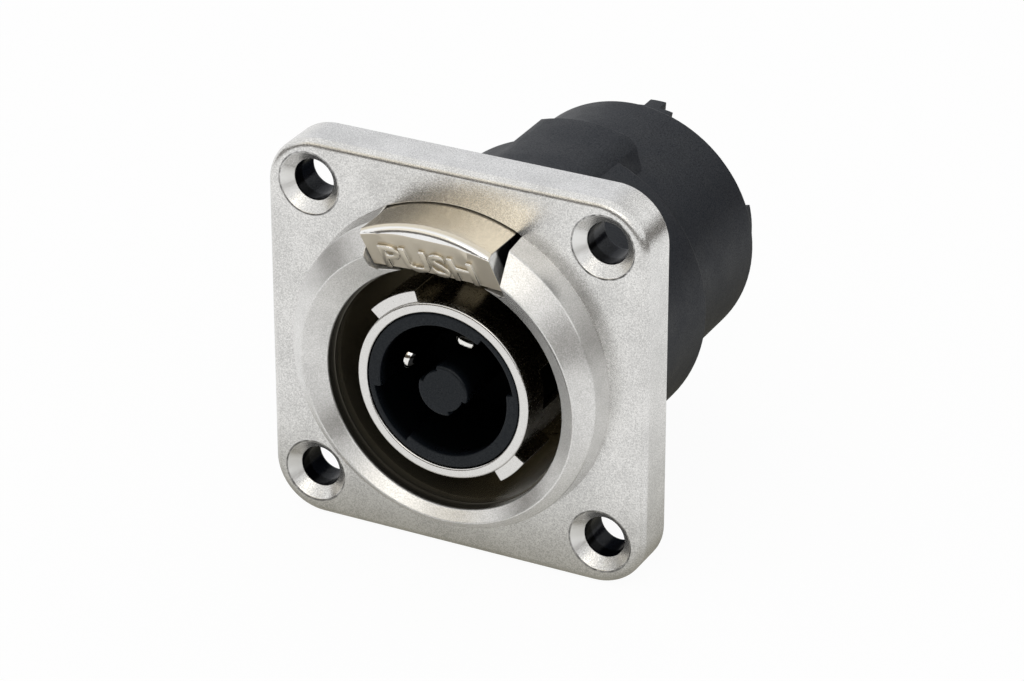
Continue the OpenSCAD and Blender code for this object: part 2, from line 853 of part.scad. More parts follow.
// Height of a spring's centre line above the axis.
function spring_y(x) = sqrt(spring_r * spring_r - x * x);

// Rise of the spring's wire after t turns, with closed turns at both ends.
function coil_rise(t, length) =
  let (closed = wire_d * closed_turn, pitch = (length - 2 * closed) / (spring_turns - 2))
    t < 1 ? t * closed
    : t > spring_turns - 1 ? length - (spring_turns - t) * closed
    : closed + (t - 1) * pitch;

// Compression spring between the tongue and the end of the hump, at a given x.
module latch_spring(x) {
  steps = 14;
  sides = 6;
  rings = steps * spring_turns;
  coil_r = (spring_d - wire_d) / 2;
  length = hump_end_z - tongue_z - wire_d - 2 * seat_gap;
  points = [
    for (i = [0 : rings], j = [0 : sides - 1])
      let (a = 360 * i / steps, b = 360 * j / sides, r = coil_r + wire_d / 2 * cos(b))
        [r * cos(a), r * sin(a), coil_rise(i / steps, length) + wire_d / 2 * sin(b)],
  ];
  walls = [
    for (i = [0 : rings - 1], j = [0 : sides - 1])
      let (p = i * sides + j, q = i * sides + (j + 1) % sides)
        each [[p, p + sides, q], [q, p + sides, q + sides]],
  ];
  start_cap = [for (j = [0 : sides - 1]) j];
  end_cap = [for (j = [sides - 1 : -1 : 0]) rings * sides + j];
  color([0.62, 0.63, 0.64])
    facing()
      on_axis()
        translate([x, spring_y(x), -hump_end_z + wire_d / 2 + seat_gap])
          polyhedron(points, concat(walls, [start_cap, end_cap]));
}

flange_shell();
plug_sleeve();
contact_insert();
insert_seal();
contact(1);  // contact_1
contact(2);  // contact_2
rear_housing();
terminal_plate();
latch_button();
latch_spring(-spring_gap / 2);  // latch_spring_left
latch_spring(spring_gap / 2);  // latch_spring_right
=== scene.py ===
"""Finish and studio of a panel-mount loudspeaker receptacle.

The solids keep their places. Copies of them get eased edges, the latch springs and the
raised word on the button are modelled, and every surface gets a finish of its own, with
shade and highlights painted into some of them.
"""

import json
from math import cos, pi, radians, sin

import bmesh
import bpy
from bpy.props import (
    FloatProperty, FloatVectorProperty, IntProperty, PointerProperty, StringProperty,
)
from bpy.types import Operator, Panel, PropertyGroup
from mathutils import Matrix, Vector

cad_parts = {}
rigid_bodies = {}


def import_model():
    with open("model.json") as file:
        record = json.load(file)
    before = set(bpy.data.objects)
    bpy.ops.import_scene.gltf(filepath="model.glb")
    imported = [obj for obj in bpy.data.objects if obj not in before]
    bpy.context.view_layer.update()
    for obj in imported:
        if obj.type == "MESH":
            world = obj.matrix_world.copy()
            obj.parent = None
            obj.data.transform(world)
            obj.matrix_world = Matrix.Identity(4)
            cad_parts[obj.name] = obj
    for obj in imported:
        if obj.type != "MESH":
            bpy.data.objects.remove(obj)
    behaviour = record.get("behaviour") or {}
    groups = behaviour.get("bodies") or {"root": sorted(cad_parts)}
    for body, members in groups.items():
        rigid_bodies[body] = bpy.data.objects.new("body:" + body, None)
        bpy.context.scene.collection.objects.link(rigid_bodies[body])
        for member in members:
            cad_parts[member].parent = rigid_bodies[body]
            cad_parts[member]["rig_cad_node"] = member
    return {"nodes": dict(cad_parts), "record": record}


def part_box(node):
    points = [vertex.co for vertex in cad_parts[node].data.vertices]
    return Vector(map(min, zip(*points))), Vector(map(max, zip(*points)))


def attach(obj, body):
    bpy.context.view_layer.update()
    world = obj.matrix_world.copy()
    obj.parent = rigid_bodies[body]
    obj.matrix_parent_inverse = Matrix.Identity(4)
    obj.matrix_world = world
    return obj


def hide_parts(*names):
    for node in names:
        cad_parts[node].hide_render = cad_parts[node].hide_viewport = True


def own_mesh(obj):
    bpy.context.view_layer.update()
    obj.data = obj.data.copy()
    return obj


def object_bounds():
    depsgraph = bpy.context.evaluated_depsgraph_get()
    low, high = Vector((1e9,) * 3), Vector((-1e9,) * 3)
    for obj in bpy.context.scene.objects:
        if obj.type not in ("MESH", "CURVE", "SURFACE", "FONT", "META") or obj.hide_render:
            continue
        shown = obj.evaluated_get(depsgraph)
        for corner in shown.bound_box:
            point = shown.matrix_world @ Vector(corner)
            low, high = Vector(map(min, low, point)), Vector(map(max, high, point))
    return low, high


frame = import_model()
CAD_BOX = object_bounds()

bl_info = {
    "name": "Loudspeaker Receptacle",
    "version": (1, 0, 0),
    "blender": (4, 5, 0),
    "location": "3D View > Sidebar > Receptacle",
    "description": "Eased edges, springs, raised word, finishes and studio of a receptacle",
    "category": "Object",
}

MM = 0.001
MOUNTS = {mount["name"]: mount for mount in frame["record"]["mounts"]}
SOCKET = MOUNTS["plug_socket"]["pos_m"]
SCREW_OFF = MOUNTS["flange_holes"]["dims"]["spacing_x_mm"] / 2 * MM

# Radii on the shell and in the well, and depths along Y between which a finish, a painted shade or a
# painted highlight sets in
FLANGE_FACE = -4.45 * MM
BORE_R = 11.9 * MM
MOUTH_R = 13.6 * MM
SINK_R = 3 * MM
BEND_RING = (4.45 * MM, 4.9 * MM)
COLLAR = (FLANGE_FACE, FLANGE_FACE - 0.3 * MM)
SINK_FRONT = (-4.0 * MM, -4.2 * MM)
BORE_EDGE = (-6.6 * MM, -6.4 * MM)
BORE_DEEP = (-5.8 * MM, -4.8 * MM)
SLEEVE_EDGE = (-6.5 * MM, -5.9 * MM)
INSERT_EDGE = (-6.6 * MM, -5.6 * MM)
WELL = (15 * MM, 12 * MM)
BASE = (0, -0.3 * MM)
BASE_FRONT = (-2.1 * MM, -2.3 * MM)
FLANK_GAP = (0.6 * MM, 0.9 * MM)

# Ways that parts of the metal face, which set where shade and highlights are painted and where the
# metal scatters more
RIGHT = (1, 0, 0)
BORE_LOW_RIGHT = (-0.72, 0, 0.69)
SLEEVE_LOW_RIGHT = (0.93, 0, -0.37)
MOUTH_RIGHT = (-0.61, -0.777, -0.163)
SINK_LEFT = (0.72, -0.68, 0.1)
LATCH_LIP = (0, -0.94, 0.34)

# Studio, in metres
FLOOR_SIZE = 8
FLOOR_GAP = 0.05 * MM
FLOOR_SEEN = 0.95
FLOOR_MIRRORED = 0.85
FLAG_R = 0.25
FLAG_OPEN_X = -0.02
FLAG_OPEN_Y = -0.01
KEY_PLACE = Vector((0.06, -0.40, 0.34))
KEY_SIZE = (0.38, 0.2)
SENSOR_MM = 36
# Cards: name, place, size, colour in the panel, and tilt in degrees where it doesn't face the part
CARDS = (
    ("back_flag", (0.12, 0.42, 0.35), (0.46, 0.12), "flag", 60),
    ("warm_card", (-0.24, -0.38, 0.27), (0.28, 0.2), "warm", None),
    ("front_flag", (-0.1, -0.42, 0.125), (0.5, 0.1), "flag", None),
    ("back_card", (-0.2, 0.4, 0.226), (0.4, 0.28), "back", None),
)


def colour(title, note, default):
    """Colour property of a finish."""
    return FloatVectorProperty(
        name=title, description=note, default=default, subtype="COLOR", size=3, min=0, max=1
    )


def length(title, note, default):
    """Length property in metres."""
    return FloatProperty(
        name=title, description=note, default=default, unit="LENGTH", precision=6, min=0
    )


def share(title, note, default):
    """Property between 0 and 1."""
    return FloatProperty(
        name=title, description=note, default=default, subtype="FACTOR", min=0, max=1
    )


def angle(title, note, default):
    """Angle property, given in degrees."""
    return FloatProperty(
        name=title, description=note, default=radians(default), subtype="ANGLE"
    )


class ReceptacleFinish(PropertyGroup):
    """Colours and grain of the surfaces, and the colours of painted shade and painted highlights."""

    shell: colour("Shell nickel", "Plating of the flange and its collar", (0.71, 0.705, 0.69))
    sleeve: colour("Sleeve nickel", "Plating of the socket's sleeve", (0.74, 0.73, 0.71))
    latch: colour("Latch nickel", "Polished plating of the latch", (0.69, 0.63, 0.52))
    # Painted highlight: near-white nickel laid on the latch's lip and right flank and on the
    # countersinks' left sides, where light catches
    worn: colour("Worn nickel", "Bright lip and flank of the latch", (0.9, 0.9, 0.89))
    contact: colour("Contact plating", "Bright plating of the contacts", (0.84, 0.83, 0.80))
    spring: colour("Spring steel", "Drawn wire of the latch springs", (0.55, 0.55, 0.55))
    insert: colour("Insert plastic", "Slate black moulding in the socket", (0.006, 0.0078, 0.0105))
    housing: colour("Housing plastic", "Charcoal moulding at the rear", (0.0065, 0.008, 0.0125))
    sheen: colour("Plastic sheen", "Tint of the light on the mouldings", (0.92, 0.97, 1.0))
    seal: colour("Seal rubber", "Ring behind the insert", (0.02, 0.02, 0.02))
    # Painted shade: near-black laid on metal where shade falls, deep in the well, round the
    # countersinks and beside the collar
    gap: colour("Gaps", "Metal that lies in a dark gap or in the well", (0.02, 0.02, 0.02))
    # Painted shade: darker, duller plating colour laid deep in the bore and the sleeve, where light
    # hardly reaches
    deep_shade: colour("Thin plating", "Dull plating deep in the socket", (0.21, 0.19, 0.14))
    shell_rough: share("Shell roughness", "Roughness of the blasted nickel", 0.22)
    shell_metal: share("Shell mirror", "Share of the blasted nickel that mirrors", 0.82)
    sleeve_rough: share("Sleeve roughness", "Roughness of the satin nickel", 0.24)
    latch_rough: share("Latch roughness", "Roughness of the polished nickel", 0.17)
    grain: length("Casting grain", "Size of the fine grain under the plating", 0.11 * MM)


class ReceptacleDetail(PropertyGroup):
    """Sizes of the modelled details."""

    metal_ease: length("Metal edge", "Width of the eased edges of metal pieces", 0.12 * MM)
    plastic_ease: length("Plastic edge", "Width of the eased edges of mouldings", 0.08 * MM)
    insert_ease: length("Insert edge", "Width of the eased edges of the insert", 0.24 * MM)
    contact_ease: length("Contact edge", "Width of the eased edges of contacts", 0.06 * MM)
    word: StringProperty(name="Word", description="Raised word on the button", default="PUSH")
    word_left: length("Word's left end", "How far the word starts left of the middle", 5.2 * MM)
    word_weight: FloatProperty(
        name="Word weight", description="Thickening of the font's strokes", default=0.03
    )
    word_w: length("Word width", "Width of the raised word", 9.4 * MM)
    word_h: length("Word height", "Height of the raised letters along the face", 3.55 * MM)
    word_z: length("Word place", "Height of the letters' feet above the origin", 9.95 * MM)
    word_lean: angle("Word lean", "How far the button's face leans over", 33.4)
    relief: length("Relief", "Rise of the letters from the face", 0.3 * MM)
    wire: length("Spring wire", "Diameter of the springs' wire", 0.28 * MM)
    turns: IntProperty(name="Spring turns", description="Turns of a spring", default=9, min=4)


class ReceptacleStudio(PropertyGroup):
    """Camera and light."""

    azimuth: angle("Azimuth", "Turn of the camera to the right of the front", 27.042)
    elevation: angle("Elevation", "Height of the camera above the horizon", 26.893)
    distance: length("Distance", "Camera's distance from the origin", 376.806 * MM)
    right: length("Shift right", "Camera's place to the right of the line", 3.151 * MM)
    up: length("Shift up", "Camera's place above the line", 0.221 * MM)
    lens: FloatProperty(
        name="Lens", description="Focal length on a 36 mm sensor", default=146.19,
        subtype="DISTANCE_CAMERA",
    )
    floor: colour("Floor", "Pale floor under the part", (0.96, 0.96, 0.96))
    contact: length("Contact shade", "Width of the shade along the foot of the flange", 16 * MM)
    foot: colour("Foot shade", "Colour of that shade at the flange", (0.25, 0.235, 0.18))
    flag: colour("Low flag", "Dark band round the studio at table height", (0.06, 0.048, 0.035))
    flag_h: length("Flag height", "Height of the dark band", 80 * MM)
    key: FloatProperty(
        name="Key", description="Power of the soft light", default=0.25, unit="POWER"
    )
    key_tint: colour("Key tint", "Colour of the soft light", (1.0, 0.93, 0.8))
    warm: colour("Warm card", "Card at the left of the soft light", (0.95, 0.87, 0.72))
    back: colour("Back card", "Card at the rear left, seen in the flange's top", (0.84, 0.85, 0.88))
    fill: share("Fill", "Strength of the studio's light on dull surfaces", 0.8)


def finish():
    """Colours and grain set in the panel."""
    return bpy.context.scene.receptacle_finish


def detail():
    """Sizes set in the panel."""
    return bpy.context.scene.receptacle_detail


def studio():
    """Camera and light set in the panel."""
    return bpy.context.scene.receptacle_studio


# Hand tools

def pick(obj):
    """Make one object the only selected one."""
    if bpy.context.object and bpy.context.object.mode != "OBJECT":
        bpy.ops.object.mode_set(mode="OBJECT")
    bpy.ops.object.select_all(action="DESELECT")
    obj.select_set(True)
    bpy.context.view_layer.objects.active = obj
    return obj


def apply_modifier(obj, kind, **settings):
    """Add a modifier, set it and apply it."""
    pick(obj)
    modifier = obj.modifiers.new(kind.title(), kind)
    for name, value in settings.items():
        setattr(modifier, name, value)
    bpy.ops.object.modifier_apply(modifier=modifier.name)


def apply_place(obj):
    """Move the object's place into its mesh."""
    pick(obj)
    bpy.ops.object.transform_apply(location=True, rotation=True, scale=True)


def rescale(obj, gain):
    """Make a piece larger or smaller, because some tools need faces of a usual size."""
    obj.scale = (gain, gain, gain)
    apply_place(obj)


def smooth(obj, limit=38):
    """Smooth shading up to an angle in degrees."""
    pick(obj)
    bpy.ops.object.shade_smooth_by_angle(angle=radians(limit))


def clean_mesh(obj, merge=0.002 * MM, flat=0.3):
    """Merge doubles and turn flat runs of triangles into faces."""
    pick(obj)
    bpy.ops.object.mode_set(mode="EDIT")
    bpy.ops.mesh.select_all(action="SELECT")
    bpy.ops.mesh.remove_doubles(threshold=merge)
    bpy.ops.mesh.dissolve_limited(angle_limit=radians(flat))
    bpy.ops.object.mode_set(mode="OBJECT")


def dress(obj, body, material):
    """Give a piece its body and its finish."""
    obj.data.materials.clear()
    obj.data.materials.append(material)
    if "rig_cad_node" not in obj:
        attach(obj, body)


def choose(obj, kind, test):
    """Go into edit mode and select the edges or faces that pass a test."""
    pick(obj)
    bpy.ops.object.mode_set(mode="EDIT")
    bpy.ops.mesh.select_mode(type=kind)
    bpy.ops.mesh.select_all(action="DESELECT")
    mesh = bmesh.from_edit_mesh(obj.data)
    for part in mesh.edges if kind == "EDGE" else mesh.faces:
        if test(part):
            part.select_set(True)
    bmesh.update_edit_mesh(obj.data)


def ease_edges(obj, width, sharp):
    """Round the outward edges that turn by more than an angle in degrees."""
    choose(obj, "EDGE", lambda edge: edge.is_convex and edge.calc_face_angle(0) > radians(sharp))
    bpy.ops.mesh.bevel(
        offset=width, segments=2, profile=0.5, clamp_overlap=False, face_strength_mode="ALL"
    )
    bpy.ops.object.mode_set(mode="OBJECT")


def eased_copy(node, name, width, sharp=42):
    """Copy of a solid with eased edges, which stands for it."""
    pick(frame["nodes"][node])
    bpy.ops.object.duplicate()
    piece = bpy.context.object
    bpy.ops.object.parent_clear(type="CLEAR_KEEP_TRANSFORM")
    del piece["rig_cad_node"]
    piece.name = name
    bpy.ops.mesh.customdata_custom_splitnormals_clear()
    clean_mesh(piece)
    ease_edges(piece, width, sharp)
    smooth(piece)
    rescale(piece, 1 / MM)
    apply_modifier(piece, "WEIGHTED_NORMAL", keep_sharp=True, use_face_influence=True)
    rescale(piece, MM)
    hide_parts(node)
    return piece


# Finishes

class Sheet:
    """Node sheet of one finish."""

    def __init__(self, name):
        self.material = bpy.data.materials.new(name)
        self.material.use_nodes = True
        self.nodes = self.material.node_tree.nodes
        self.links = self.material.node_tree.links
        self.shader = self.nodes["Principled BSDF"]
        spot = self.add("ShaderNodeTexCoord")
        self.place, self.normal = spot.outputs["Object"], spot.outputs["Normal"]

    def add(self, kind, **settings):
        """Add a node and set its options."""
        node = self.nodes.new(kind)
        for key, value in settings.items():
            setattr(node, key, value)
        return node

    def feed(self, socket, value):
        """Link a socket, or set its value."""
        if isinstance(value, bpy.types.NodeSocket):
            self.links.new(value, socket)
        else:
            socket.default_value = value

    def noise(self, size, detail_level=2.0, rough=0.5):
        """Noise whose features have the given size in metres."""
        node = self.add("ShaderNodeTexNoise")
        self.feed(node.inputs["Vector"], self.place)
        node.inputs["Scale"].default_value = 1 / size
        node.inputs["Detail"].default_value = detail_level
        node.inputs["Roughness"].default_value = rough
        return node.outputs["Fac"]

    def span(self, value, low, high, start=0.3, stop=0.7):
        """Map a value from one range to another."""
        node = self.add("ShaderNodeMapRange")
        self.feed(node.inputs["Value"], value)
        ends = {"From Min": start, "From Max": stop, "To Min": low, "To Max": high}
        for key, number in ends.items():
            node.inputs[key].default_value = number
        return node.outputs["Result"]

    def math(self, operation, first, second):
        """Sum, product or other pairing of two values."""
        node = self.add("ShaderNodeMath", operation=operation)
        self.feed(node.inputs[0], first)
        self.feed(node.inputs[1], second)
        return node.outputs[0]

    def both(self, first, second):
        """Product of two shares."""
        return self.math("MULTIPLY", first, second)

    def either(self, first, second):
        """Larger one of two shares."""
        return self.math("MAXIMUM", first, second)

    def blend(self, part, none, full):
        """Number that goes from one value to another as a share grows from 0 to 1."""
        return self.span(part, none, full, 0, 1)

    def along(self, vector, way, start, stop):
        """Share that grows from 0 to 1 as a place or a normal goes a way."""
        reach = self.add("ShaderNodeVectorMath", operation="DOT_PRODUCT")
        self.feed(reach.inputs[0], vector)
        reach.inputs[1].default_value = way
        return self.span(reach.outputs["Value"], 0, 1, start, stop)

    def facing(self, way, start, stop):
        """Share that grows from 0 to 1 as the surface turns a way."""
        return self.along(self.normal, way, start, stop)

    def behind(self, front, full):
        """Share that grows from 0 to 1 between two depths."""
        return self.along(self.place, (0, 1, 0), front, full)

    def from_line(self, place, x, z):
        """Distance of a place from a line along Y."""
        flat = self.add("ShaderNodeVectorMath", operation="MULTIPLY")
        self.feed(flat.inputs[0], place)
        flat.inputs[1].default_value = (1, 0, 1)
        reach = self.add("ShaderNodeVectorMath", operation="DISTANCE")
        self.feed(reach.inputs[0], flat.outputs[0])
        reach.inputs[1].default_value = (x, 0, z)
        return reach.outputs["Value"]

    def from_axis(self):
        """Distance from the socket's axis."""
        return self.from_line(self.place, 0, SOCKET[2])

    def from_screw(self):
        """Distance from the axis of the nearest screw hole."""
        folded = self.add("ShaderNodeVectorMath", operation="ABSOLUTE")
        self.feed(folded.inputs[0], self.place)
        return self.from_line(folded.outputs[0], SCREW_OFF, SCREW_OFF)

    def within(self, radius):
        """Share of 1 inside a distance from the socket's axis."""
        edge = 0.06 * MM
        return self.span(self.from_axis(), 1, 0, radius, radius + edge)

    def off_ring(self, inner, outer):
        """Share of 0 between two distances from the socket's axis, and of 1 elsewhere."""
        edge = 0.03 * MM
        reach = self.from_axis()
        inside = self.span(reach, 1, 0, inner - edge, inner)
        return self.math("ADD", inside, self.span(reach, 0, 1, outer, outer + edge))

    def mix(self, share_in, first, second):
        """Mix two colours."""
        node = self.add("ShaderNodeMix", data_type="RGBA")
        self.feed(node.inputs[0], share_in)
        self.feed(node.inputs[6], first)
        self.feed(node.inputs[7], second)
        return node.outputs[2]

    def bump(self, height, rise):
        """Bump of a given rise in metres."""
        node = self.add("ShaderNodeBump")
        self.feed(node.inputs["Height"], height)
        node.inputs["Distance"].default_value = rise
        return node.outputs["Normal"]

    def set(self, **values):
        """Set or link the shader's own sockets."""
        for key, value in values.items():
            self.feed(self.shader.inputs[key.replace("_", " ")], value)
        return self.material


def opaque(tint, gain=1.0):
    """Four-part colour of a property."""
    return (*[min(part * gain, 1.0) for part in tint], 1.0)


def plated(
    name, tint, rough, grain, rise, spread=0.05, fleck=0.04, metal=1.0, patches=(), scatter=(),
    matte=None,
):
    """Plated metal with a fine cast grain.

    Patches pair a part with a colour laid over the plating, painted shade in some parts and a
    painted highlight in others, scatter pairs a part with the share of the mirroring that it
    keeps, and the part given for a rougher finish is also painted a little darker, as shade.
    """
    sheet = Sheet(name)
    fine = sheet.noise(grain, 3.0, 0.6)
    cloud = sheet.math("MULTIPLY", sheet.noise(3.5 * MM, 3.0, 0.55), 0.3)
    tone = sheet.span(sheet.math("ADD", fine, cloud), 0, 1, 0.5, 0.8)
    base = sheet.mix(tone, opaque(tint, 1 - fleck), opaque(tint, 1 + fleck))
    # Painted shade and painted highlights laid over the plating colour
    for part, plating in patches:
        base = sheet.mix(part(sheet), base, opaque(plating))
    level = sheet.span(sheet.noise(grain * 2.2), rough - spread, rough + spread)
    # Rougher finish, also painted a little darker as shade
    if matte:
        side = matte(sheet)
        base = sheet.mix(side, base, opaque(tint, 0.95))
        level = sheet.math("ADD", level, sheet.blend(side, 0, 0.18))
    for part, keep in scatter:
        metal = sheet.both(metal, sheet.blend(part(sheet), 1, keep))
    return sheet.set(
        Base_Color=base,
        Metallic=metal,
        Roughness=level,
        Normal=sheet.bump(fine, rise),
    )


def moulded(name, tint, rough, grain, rise, shine=0.3, dark=None, gloss=None):
    """Moulded plastic with a fine texture, with painted shade that makes one part blacker, and
    glossier in another.
    """
    sheet = Sheet(name)
    spread = 0.06
    fine = sheet.noise(grain, 3.0, 0.6)
    cloud = sheet.noise(4 * MM, 4.0, 0.6)
    base = sheet.mix(sheet.span(cloud, 0, 1), opaque(tint, 0.85), opaque(tint, 1.15))
    # Painted shade: the dark part gets a near-black colour and less sheen, where light hardly reaches
    if dark:
        hole = dark(sheet)
        base = sheet.mix(hole, base, opaque(tint, 0.2))
        shine = sheet.blend(hole, shine, shine * 0.4)
    shine = sheet.both(sheet.span(fine, 0.4, 1.6), shine)
    level = sheet.span(cloud, rough - spread, rough + spread)
    if gloss:
        level = sheet.both(level, sheet.blend(gloss(sheet), 1, 0.3))
        shine = sheet.both(shine, sheet.blend(gloss(sheet), 1, 0.4))
    return sheet.set(
        Base_Color=base,
        Roughness=level,
        Specular_IOR_Level=shine,
        Specular_Tint=opaque(finish().sheen),
        Normal=sheet.bump(fine, rise),
    )


# Parts of the finishes, each as a share between 0 and 1 on a sheet; many mark painted shade and
# painted highlights

def collar(sheet):
    """Collar of the shell, ahead of the flange."""
    return sheet.behind(*COLLAR)


def bore(sheet):
    """Wall of the shell's bore."""
    return sheet.both(sheet.within(BORE_R), sheet.behind(*BORE_EDGE))


def lit_bore(sheet):
    """Lower right of the bore, which takes light from above."""
    return sheet.both(sheet.facing(BORE_LOW_RIGHT, 0.9, 0.98), bore(sheet))


def bore_shade(sheet):
    """Wall of the bore, with little of the lit part, where shade is painted."""
    return sheet.both(bore(sheet), sheet.blend(lit_bore(sheet), 1, 0.15))


def bore_mouth_shade(sheet):
    """Wall of the bore close to the mouth, where the darkest shade is painted."""
    return sheet.both(sheet.blend(sheet.behind(*BORE_DEEP), 0.8, 0), bore_shade(sheet))


def mouth_right(sheet):
    """Mouth of the collar at the right, at part strength."""
    mouth = sheet.both(sheet.facing(MOUTH_RIGHT, 0.93, 0.99), sheet.within(MOUTH_R))
    return sheet.both(mouth, 0.6)


def sink_highlight(sheet):
    """Left sides of the countersinks, where a highlight is painted."""
    edge = 0.05 * MM
    inside = sheet.span(sheet.from_screw(), 1, 0, SINK_R, SINK_R + edge)
    return sheet.both(sheet.facing(SINK_LEFT, 0.9, 0.97), inside)


def sink_rim_shade(sheet):
    """Broken dark line of painted shade round each countersink."""
    width, fade, gaps = 0.1 * MM, 0.06 * MM, 0.5 * MM
    reach = sheet.from_screw()
    line = sheet.both(
        sheet.span(reach, 0, 1, SINK_R - fade, SINK_R),
        sheet.span(reach, 1, 0, SINK_R + width, SINK_R + width + fade),
    )
    front = sheet.both(line, sheet.behind(*SINK_FRONT))
    return sheet.both(front, sheet.span(sheet.noise(gaps), 0.2, 0.9))


def soft_shell(sheet):
    """Parts of the shell that scatter light more than they mirror it."""
    return sheet.either(sheet.either(lit_bore(sheet), mouth_right(sheet)), sink_highlight(sheet))


def sleeve_shade(sheet):
    """Wall of the sleeve in the bore, with little of its lower right, where shade is painted."""
    wall = sheet.blend(sheet.facing(SLEEVE_LOW_RIGHT, 0.85, 0.98), 1, 0.15)
    return sheet.both(wall, sheet.behind(*SLEEVE_EDGE))


def insert_shade(sheet):
    """Insert behind its front edge, where shade is painted."""
    return sheet.behind(*INSERT_EDGE)


def blade_shade(sheet):
    """Contacts in the well, all but their bends, where shade is painted."""
    return sheet.both(sheet.behind(*WELL), sheet.off_ring(*BEND_RING))


def flange_base(sheet):
    """Base of the housing in the flange, with the walls of the screw holes."""
    return sheet.behind(*BASE)


def base_front_shade(sheet):
    """Front of that base, close to the metal cap, where shade is painted."""
    return sheet.behind(*BASE_FRONT)


def flank(sheet):
    """Right flank of the button."""
    return sheet.facing(RIGHT, 0.8, 0.9)


def flank_shade(sheet):
    """Part of that flank that lies beside the collar, where shade is painted."""
    lean = detail().word_lean
    return sheet.both(flank(sheet), sheet.along(sheet.place, (0, cos(lean), sin(lean)), *FLANK_GAP))


def latch_highlight(sheet):
    """Lip and right flank of the button, where a highlight is painted."""
    return sheet.either(sheet.facing(LATCH_LIP, 0.78, 0.9), flank(sheet))


def button_face(sheet):
    """Leaning face of the button, which is rougher and painted a little darker as shade."""
    lean = detail().word_lean
    return sheet.facing((0, -cos(lean), -sin(lean)), 0.88, 0.93)


# Pieces

class RECEPTACLE_OT_shell(Operator):
    """Ease the edges of the die-cast shell and plate it"""

    bl_idname = "receptacle.shell"
    bl_label = "Shell"

    def execute(self, context):
        look = finish()
        nickel = plated(
            "blasted_nickel", look.shell, look.shell_rough, look.grain, rise=0.014 * MM, fleck=0.22,
            metal=look.shell_metal, scatter=[(collar, 0.78), (soft_shell, 0.4)],
            # Painted shade in the bore and round the countersinks, and a painted highlight on the
            # countersinks' left sides
            patches=[
                (bore_shade, look.deep_shade), (bore_mouth_shade, look.gap), (sink_highlight, look.worn),
                (sink_rim_shade, look.gap),
            ],
        )
        piece = eased_copy("flange_shell", "shell", detail().metal_ease)
        dress(piece, "receptacle", nickel)
        return {"FINISHED"}


class RECEPTACLE_OT_sleeve(Operator):
    """Ease the edges of the lugged sleeve and plate it"""

    bl_idname = "receptacle.sleeve"
    bl_label = "Sleeve"

    def execute(self, context):
        look = finish()
        nickel = plated(
            "satin_nickel", look.sleeve, look.sleeve_rough, look.grain, rise=0.004 * MM,
            # Painted shade on the sleeve's wall in the bore
            patches=[(sleeve_shade, look.deep_shade)],
        )
        piece = eased_copy("plug_sleeve", "sleeve", detail().metal_ease)
        dress(piece, "receptacle", nickel)
        return {"FINISHED"}


class RECEPTACLE_OT_insert(Operator):
    """Ease the edges of the contact insert and finish it and its seal"""

    bl_idname = "receptacle.insert"
    bl_label = "Insert and Seal"

    def execute(self, context):
        look = finish()
        slate = moulded(
            "slate_plastic", look.insert, rough=0.32, grain=0.12 * MM, rise=0.004 * MM, shine=0.22,
            # Painted shade inside the insert
            dark=insert_shade,
        )
        rubber = moulded("seal_rubber", look.seal, rough=0.7, grain=0.2 * MM, rise=0.008 * MM)
        piece = eased_copy("contact_insert", "insert", detail().insert_ease)
        dress(piece, "receptacle", slate)
        dress(frame["nodes"]["insert_seal"], "receptacle", rubber)
        return {"FINISHED"}


class RECEPTACLE_OT_contacts(Operator):
    """Ease the edges of the two contacts and plate them"""

    bl_idname = "receptacle.contacts"
    bl_label = "Contacts"

    def execute(self, context):
        look = finish()
        bright = plated(
            "bright_plating", look.contact, rough=0.14, grain=0.09 * MM, rise=0.001 * MM, spread=0.03,
            # Painted shade on the blades in the well, which leaves their bends bright
            patches=[(blade_shade, look.gap)],
        )
        for number in (1, 2):
            piece = eased_copy(f"contact_{number}", f"blade_{number}", detail().contact_ease)
            dress(piece, "receptacle", bright)
        return {"FINISHED"}


class RECEPTACLE_OT_housing(Operator):
    """Ease the edges of the rear housing and its terminal plate"""

    bl_idname = "receptacle.housing"
    bl_label = "Housing"

    def execute(self, context):
        charcoal = moulded(
            "charcoal_plastic", finish().housing, rough=0.5, grain=0.14 * MM, rise=0.010 * MM,
            # Painted shade at the front of the base by the metal cap
            dark=base_front_shade, gloss=flange_base,
        )
        for node, name in (("rear_housing", "housing"), ("terminal_plate", "end_plate")):
            piece = eased_copy(node, name, detail().plastic_ease)
            dress(piece, "receptacle", charcoal)
        return {"FINISHED"}


class RECEPTACLE_OT_latch(Operator):
    """Ease the edges of the latch and polish it"""

    bl_idname = "receptacle.latch"
    bl_label = "Latch"

    def execute(self, context):
        look = finish()
        nickel = plated(
            "polished_nickel", look.latch, look.latch_rough, look.grain, rise=0.003 * MM, spread=0.03,
            # Rougher face also painted a little darker as shade; painted highlight on the lip and
            # right flank, and painted shade on the flank beside the collar
            metal=0.88, matte=button_face,
            patches=[(latch_highlight, look.worn), (flank_shade, look.gap)],
        )
        piece = eased_copy("latch_button", "latch_button_eased", detail().metal_ease)
        dress(piece, "latch", nickel)
        return {"FINISHED"}


